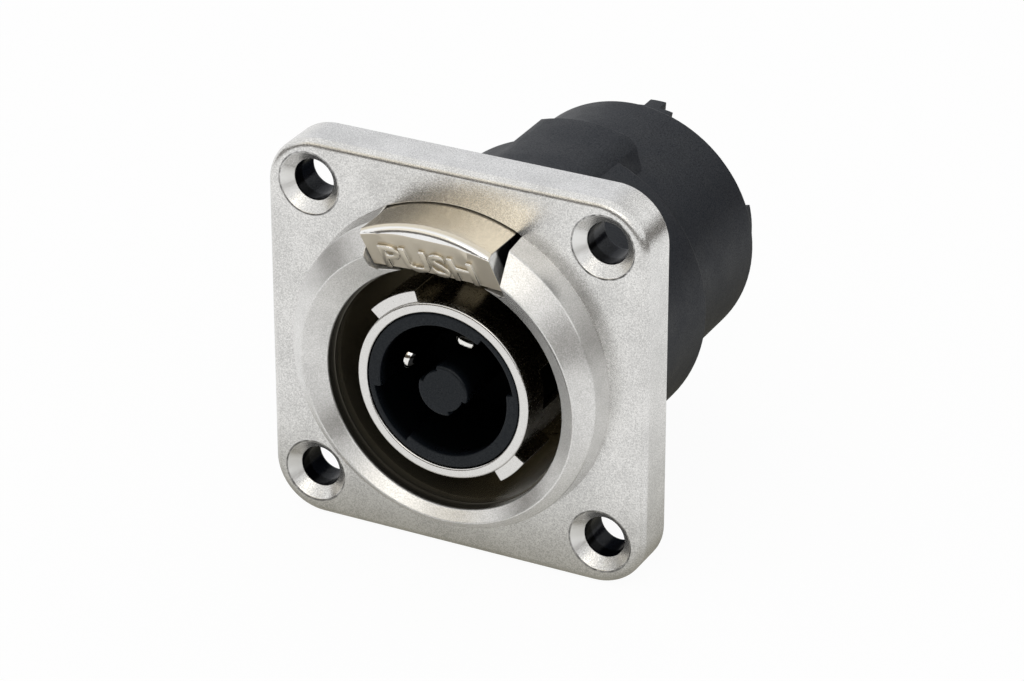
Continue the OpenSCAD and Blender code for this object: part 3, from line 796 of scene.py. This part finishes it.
class RECEPTACLE_OT_springs(Operator):
    """Wind the two latch springs, which on the real part shorten as the button is pushed"""

    bl_idname = "receptacle.springs"
    bl_label = "Springs"

    def execute(self, context):
        steel = plated(
            "spring_steel", finish().spring, rough=0.25, grain=0.05 * MM, rise=0.001 * MM, spread=0.04
        )
        for side in ("left", "right"):
            node = f"latch_spring_{side}"
            low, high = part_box(node)
            piece = self.wind(f"spring_{side}", low, high)
            dress(piece, "receptacle", steel)
            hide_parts(node)
            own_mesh(piece)
        return {"FINISHED"}

    def wind(self, name, low, high):
        """Coil of round wire with one closed turn at each end."""
        wire, turns = detail().wire, detail().turns
        middle = (low + high) / 2
        radius = (high.x - low.x - wire) / 2
        rise = high.y - low.y - wire
        closed = 1.05 * wire
        pitch = (rise - 2 * closed) / (turns - 2)
        steps = 24
        bpy.ops.object.select_all(action="DESELECT")
        bpy.ops.curve.primitive_nurbs_path_add(location=(0, 0, 0))
        coil = bpy.context.object
        coil.name = name
        coil.data.splines.clear()
        line = coil.data.splines.new("POLY")
        line.points.add(steps * turns)
        for step, point in enumerate(line.points):
            turn = step / steps
            along = min(turn, 1) * closed + min(max(turn - 1, 0), turns - 2) * pitch
            along += max(turn - turns + 1, 0) * closed
            bend = 2 * pi * turn
            point.co = (
                middle.x + radius * cos(bend), low.y + wire / 2 + along,
                middle.z + radius * sin(bend), 1,
            )
        coil.data.bevel_depth = wire / 2
        coil.data.bevel_resolution = 2
        coil.data.use_fill_caps = True
        pick(coil)
        bpy.ops.object.convert(target="MESH")
        smooth(coil, 60)
        return coil


class RECEPTACLE_OT_word(Operator):
    """Raise the word on the leaning face of the button"""

    bl_idname = "receptacle.word"
    bl_label = "Raised Word"

    def execute(self, context):
        size = detail()
        button = bpy.data.objects["latch_button_eased"]
        bpy.ops.object.select_all(action="DESELECT")
        bpy.ops.object.text_add()
        word = bpy.context.object
        word.name = "raised_word"
        word.data.body = size.word
        word.data.resolution_u = 6
        word.data.offset = size.word_weight
        pick(word)
        bpy.ops.object.convert(target="MESH")
        self.fit(word, button, size)
        self.press_on(word, button, size.relief)
        dress(word, "latch", button.data.materials[0])
        return {"FINISHED"}

    def fit(self, word, button, size):
        """Bring the flat letters to their size and their place ahead of the face."""
        corners = [Vector(corner) for corner in word.bound_box]
        low = Vector([min(corner[i] for corner in corners) for i in range(3)])
        wide, high = word.dimensions.x, word.dimensions.y
        pick(word)
        bpy.ops.object.mode_set(mode="EDIT")
        bpy.ops.mesh.select_all(action="SELECT")
        bpy.ops.transform.translate(value=-low)
        bpy.ops.mesh.remove_doubles(threshold=0.002)
        bpy.ops.object.mode_set(mode="OBJECT")
        word.scale = (size.word_w / wide, size.word_h / high, 1)
        apply_place(word)
        lean, clear = size.word_lean, size.word_h
        found, foot, _, _ = button.ray_cast((0, CAD_BOX[0].y * 2, size.word_z), (0, 1, 0))
        if not found:
            raise RuntimeError("The button's face was not found at the word's height")
        word.rotation_euler = (pi / 2 + lean, 0, 0)
        word.location = (
            -size.word_left, foot.y - clear * cos(lean), foot.z - clear * sin(lean)
        )

    def press_on(self, word, button, relief):
        """Lay the letters on the face, then raise and round them."""
        sunk = relief / 4
        apply_modifier(
            word, "SHRINKWRAP", wrap_method="PROJECT", target=button, use_project_z=True,
            use_negative_direction=True, use_positive_direction=False, offset=-sunk,
        )
        apply_modifier(word, "SOLIDIFY", thickness=relief + sunk, offset=1)
        apply_place(word)
        ease_edges(word, relief / 3, 50)
        smooth(word, 50)


# Studio

class RECEPTACLE_OT_stage(Operator):
    """Set the floor, the light and the camera"""

    bl_idname = "receptacle.stage"
    bl_label = "Studio"

    def execute(self, context):
        context.scene.view_settings.view_transform = "Standard"
        self.floor()
        self.flag()
        self.key()
        for name, place, size, tint, tilt in CARDS:
            self.card(name, place, size, getattr(studio(), tint), tilt)
        self.world(context.scene)
        self.camera(context.scene)
        return {"FINISHED"}

    def mirror_only(self, obj, tint):
        """Make a plain glowing card that shows in reflections alone."""
        material = bpy.data.materials.new(obj.name)
        material.use_nodes = True
        tree = material.node_tree
        tree.nodes.clear()
        light = tree.nodes.new("ShaderNodeEmission")
        light.inputs["Color"].default_value = opaque(tint)
        out = tree.nodes.new("ShaderNodeOutputMaterial")
        tree.links.new(light.outputs[0], out.inputs[0])
        obj.data.materials.append(material)
        obj.visible_camera = False
        obj.visible_diffuse = False
        obj.visible_transmission = False
        obj.visible_shadow = False

    def ray_share(self, tree, camera, glossy):
        """Weights of camera and transmission rays, and of glossy rays, added up."""
        rays = tree.nodes.new("ShaderNodeLightPath")
        total = None
        weights = {"Is Camera Ray": camera, "Is Transmission Ray": camera, "Is Glossy Ray": glossy}
        for name, weight in weights.items():
            part = tree.nodes.new("ShaderNodeMath")
            part.operation = "MULTIPLY_ADD"
            tree.links.new(rays.outputs[name], part.inputs[0])
            part.inputs[1].default_value = weight
            part.inputs[2].default_value = 0
            if total:
                tree.links.new(total, part.inputs[2])
            total = part.outputs[0]
        return total

    def floor(self):
        """Pale floor that stays white behind the part and keeps its shadow."""
        bpy.ops.object.select_all(action="DESELECT")
        bpy.ops.mesh.primitive_plane_add(
            size=FLOOR_SIZE, location=(0, 0, CAD_BOX[0].z - FLOOR_GAP)
        )
        ground = bpy.context.object
        ground.name = "floor"
        sheet = Sheet("pale_floor")
        sheet.nodes.remove(sheet.shader)
        spot = sheet.add("ShaderNodeSeparateXYZ")
        sheet.feed(spot.inputs[0], sheet.place)
        aside = sheet.math("ABSOLUTE", spot.outputs["X"], 0)
        beside = sheet.math("SUBTRACT", aside, CAD_BOX[1].x)
        ahead = sheet.math("SUBTRACT", FLANGE_FACE, spot.outputs["Y"])
        clear = sheet.span(sheet.either(beside, ahead), 0, 1, 0, studio().contact)
        rays = sheet.add("ShaderNodeLightPath")
        direct = sheet.math("SUBTRACT", 1, rays.outputs["Is Glossy Ray"])
        dull = sheet.add("ShaderNodeBsdfDiffuse")
        dull.inputs["Color"].default_value = opaque(studio().floor)
        white = sheet.add("ShaderNodeEmission")
        tone = sheet.mix(sheet.either(clear, direct), opaque(studio().foot), (1, 1, 1, 1))
        sheet.feed(white.inputs["Color"], tone)
        mixed = sheet.add("ShaderNodeMixShader")
        weight = self.ray_share(sheet.material.node_tree, FLOOR_SEEN, FLOOR_MIRRORED)
        for socket, source in zip(mixed.inputs, (weight, dull.outputs[0], white.outputs[0])):
            sheet.feed(socket, source)
        sheet.feed(sheet.nodes["Material Output"].inputs[0], mixed.outputs[0])
        ground.data.materials.append(sheet.material)

    def flag(self):
        """Dark band round the table, open to the left, which draws the edges of the metal."""
        view = studio()
        bpy.ops.object.select_all(action="DESELECT")
        bpy.ops.mesh.primitive_cylinder_add(
            vertices=96, radius=FLAG_R, depth=view.flag_h, end_fill_type="NOTHING",
            location=(0, 0, view.flag_h / 2 + CAD_BOX[0].z),
        )
        band = bpy.context.object
        band.name = "low_flag"
        apply_place(band)
        choose(band, "FACE", self.open_side)
        bpy.ops.mesh.delete(type="FACE")
        bpy.ops.object.mode_set(mode="OBJECT")
        self.mirror_only(band, view.flag)

    def open_side(self, face):
        """Faces of the band at the rear left, which are taken away."""
        middle = face.calc_center_median()
        return middle.x < FLAG_OPEN_X and middle.y > FLAG_OPEN_Y

    def key(self):
        """Broad soft light in front of the part and above it."""
        view = studio()
        turn = KEY_PLACE.to_track_quat("Z", "Y").to_euler()
        bpy.ops.object.select_all(action="DESELECT")
        bpy.ops.object.light_add(type="AREA", location=KEY_PLACE, rotation=turn)
        lamp = bpy.context.object
        lamp.name = "key"
        lamp.data.shape = "RECTANGLE"
        lamp.data.size, lamp.data.size_y = KEY_SIZE
        lamp.data.energy = view.key
        lamp.data.color = view.key_tint

    def card(self, name, place, size, tint, tilt):
        """Plain card that faces the part or is tilted, and shows in reflections alone."""
        turn = Vector(place).to_track_quat("Z", "Y").to_euler()
        if tilt is not None:
            turn = (radians(tilt), 0, 0)
        bpy.ops.object.select_all(action="DESELECT")
        bpy.ops.mesh.primitive_plane_add(size=1, location=place, rotation=turn)
        card = bpy.context.object
        card.name = name
        card.scale = (*size, 1)
        apply_place(card)
        self.mirror_only(card, tint)

    def world(self, scene):
        """White studio walls, dimmer on dull surfaces."""
        sky = bpy.data.worlds.new("studio")
        scene.world = sky
        sky.use_nodes = True
        tree = sky.node_tree
        back = tree.nodes["Background"]
        back.inputs["Color"].default_value = (1, 1, 1, 1)
        level = tree.nodes.new("ShaderNodeMapRange")
        tree.links.new(self.ray_share(tree, 1, 1), level.inputs["Value"])
        level.inputs["To Min"].default_value = studio().fill
        level.inputs["To Max"].default_value = 1.0
        tree.links.new(level.outputs[0], back.inputs["Strength"])

    def camera(self, scene):
        """Camera at the photograph's viewing angle."""
        view = studio()
        back = Vector((
            sin(view.azimuth) * cos(view.elevation),
            -cos(view.azimuth) * cos(view.elevation),
            sin(view.elevation),
        ))
        right = Vector((cos(view.azimuth), sin(view.azimuth), 0))
        up = back.cross(right)
        bpy.ops.object.select_all(action="DESELECT")
        bpy.ops.object.camera_add(
            location=back * view.distance + right * view.right + up * view.up,
            rotation=(pi / 2 - view.elevation, 0, view.azimuth),
        )
        camera = bpy.context.object
        camera.data.lens = view.lens
        camera.data.sensor_width = SENSOR_MM
        camera.data.clip_start = 0.01
        scene.camera = camera


STEPS = (
    RECEPTACLE_OT_shell,
    RECEPTACLE_OT_sleeve,
    RECEPTACLE_OT_insert,
    RECEPTACLE_OT_contacts,
    RECEPTACLE_OT_housing,
    RECEPTACLE_OT_latch,
    RECEPTACLE_OT_word,
    RECEPTACLE_OT_springs,
    RECEPTACLE_OT_stage,
)


class RECEPTACLE_PT_sidebar(Panel):
    """Sizes, colours and steps of the receptacle"""

    bl_idname = "RECEPTACLE_PT_sidebar"
    bl_label = "Receptacle"
    bl_space_type = "VIEW_3D"
    bl_region_type = "UI"
    bl_category = "Receptacle"

    def draw(self, context):
        for group in (finish(), detail(), studio()):
            box = self.layout.box()
            for key in group.__annotations__:
                box.prop(group, key)
        for step in STEPS:
            self.layout.operator(step.bl_idname)


GROUPS = {
    "receptacle_finish": ReceptacleFinish,
    "receptacle_detail": ReceptacleDetail,
    "receptacle_studio": ReceptacleStudio,
}


def register():
    """Register the classes and hang the settings on the scene."""
    for name, group in GROUPS.items():
        bpy.utils.register_class(group)
        setattr(bpy.types.Scene, name, PointerProperty(type=group))
    for cls in (*STEPS, RECEPTACLE_PT_sidebar):
        bpy.utils.register_class(cls)


def unregister():
    """Take the classes and the settings away."""
    for cls in (RECEPTACLE_PT_sidebar, *reversed(STEPS)):
        bpy.utils.unregister_class(cls)
    for name, group in GROUPS.items():
        delattr(bpy.types.Scene, name)
        bpy.utils.unregister_class(group)


def main():
    """Make every piece and the studio."""
    register()
    bpy.ops.receptacle.shell()
    bpy.ops.receptacle.sleeve()
    bpy.ops.receptacle.insert()
    bpy.ops.receptacle.contacts()
    bpy.ops.receptacle.housing()
    bpy.ops.receptacle.latch()
    bpy.ops.receptacle.word()
    bpy.ops.receptacle.springs()
    bpy.ops.receptacle.stage()


if __name__ == "__main__":
    main()
